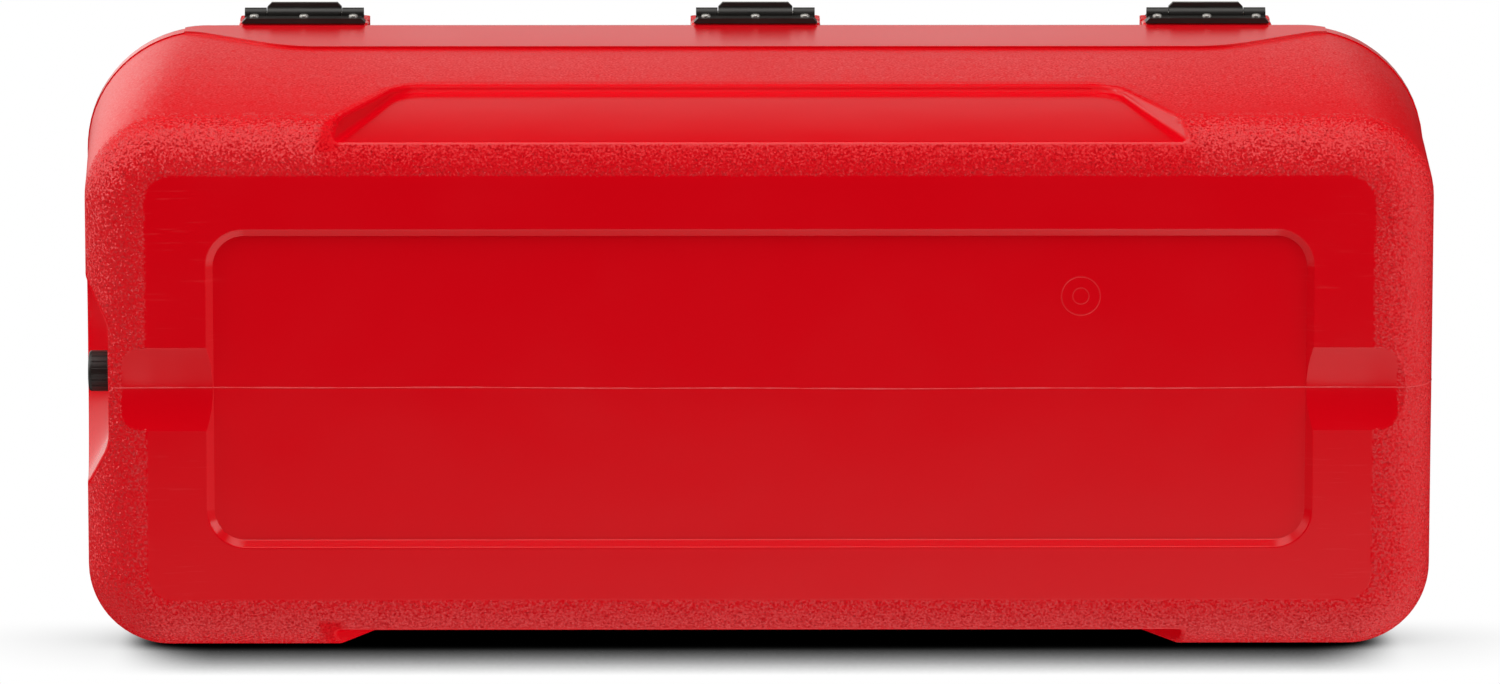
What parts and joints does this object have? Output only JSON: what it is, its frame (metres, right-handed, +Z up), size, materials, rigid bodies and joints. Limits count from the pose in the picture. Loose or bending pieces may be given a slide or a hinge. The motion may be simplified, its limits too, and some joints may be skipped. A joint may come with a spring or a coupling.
{
  "type": "chest cooler",
  "caption": "Red blow-moulded chest cooler with a flat recessed base, rear strap hinges, a screw drain cap low on one end and swing handles in end pockets.",
  "frame": {"origin": "middle of the box that the closed cooler fills, in the plane of the ring that it stands on", "axes": "+X along the length towards the drain end, +Y towards the hinges, +Z up"},
  "size_m": [1, 0.4346, 0.4418],
  "materials": {
    "red_shell": "satin",
    "white_liner": "satin",
    "white_fitting": "satin",
    "foam": "matte",
    "gasket_rubber": "matte",
    "seal_rubber": "matte",
    "grip_rubber": "matte",
    "black_plastic": "satin",
    "steel": "satin"
  },
  "bodies": {
    "body": {"body_foam": "foam", "body_liner": "white_liner", "body_shell": "red_shell", "drain_nut": "white_fitting", "drain_spigot": "white_fitting", "drain_washer": "seal_rubber", "handle_drain_end_bracket_first": "black_plastic", "handle_drain_end_bracket_second": "black_plastic", "handle_drain_end_screws": "steel", "handle_plain_end_bracket_first": "black_plastic", "handle_plain_end_bracket_second": "black_plastic", "handle_plain_end_screws": "steel", "hinge_body_screws": "steel", "hinge_left_body_leaf": "black_plastic", "hinge_left_pin": "steel", "hinge_middle_body_leaf": "black_plastic", "hinge_middle_pin": "steel", "hinge_right_body_leaf": "black_plastic", "hinge_right_pin": "steel"},
    "lid": {"hinge_left_lid_leaf": "black_plastic", "hinge_lid_screws": "steel", "hinge_middle_lid_leaf": "black_plastic", "hinge_right_lid_leaf": "black_plastic", "lid_foam": "foam", "lid_gasket": "gasket_rubber", "lid_liner": "white_liner", "lid_shell": "red_shell"},
    "cap_seal": {"drain_cap_seal": "seal_rubber"},
    "cap": {"drain_cap": "black_plastic"},
    "drain_end_handle": {"handle_drain_end_bail": "black_plastic", "handle_drain_end_grip": "grip_rubber"},
    "plain_end_handle": {"handle_plain_end_bail": "black_plastic", "handle_plain_end_grip": "grip_rubber"}
  },
  "joints": [
    {"name": "lid_hinge", "type": "hinge", "parent": "body", "child": "lid", "pos_m": [0, 0.20949, 0.387], "axis": [-1, 0, 0], "range_deg": [0, 100]},
    {"name": "cap_travel", "type": "slide", "parent": "body", "child": "cap_seal", "axis": [1, 0, 0], "range_m": [0, 0.0101]},
    {"name": "cap_turn", "type": "hinge", "parent": "cap_seal", "child": "cap", "pos_m": [0.4724, -0.00529, 0.066], "axis": [1, 0, 0], "range_deg": [0, 900]},
    {"name": "drain_end_handle_swing", "type": "hinge", "parent": "body", "child": "drain_end_handle", "pos_m": [0.48474, -0.00729, 0.31963], "axis": [0, -1, 0], "range_deg": [0, 105]},
    {"name": "plain_end_handle_swing", "type": "hinge", "parent": "body", "child": "plain_end_handle", "pos_m": [-0.48474, -0.00729, 0.31963], "axis": [0, 1, 0], "range_deg": [0, 105]}
  ],
  "couplings": [
    {"joint": "cap_travel", "follows": "cap_turn", "m_per_rad": 0.00063662}
  ]
}
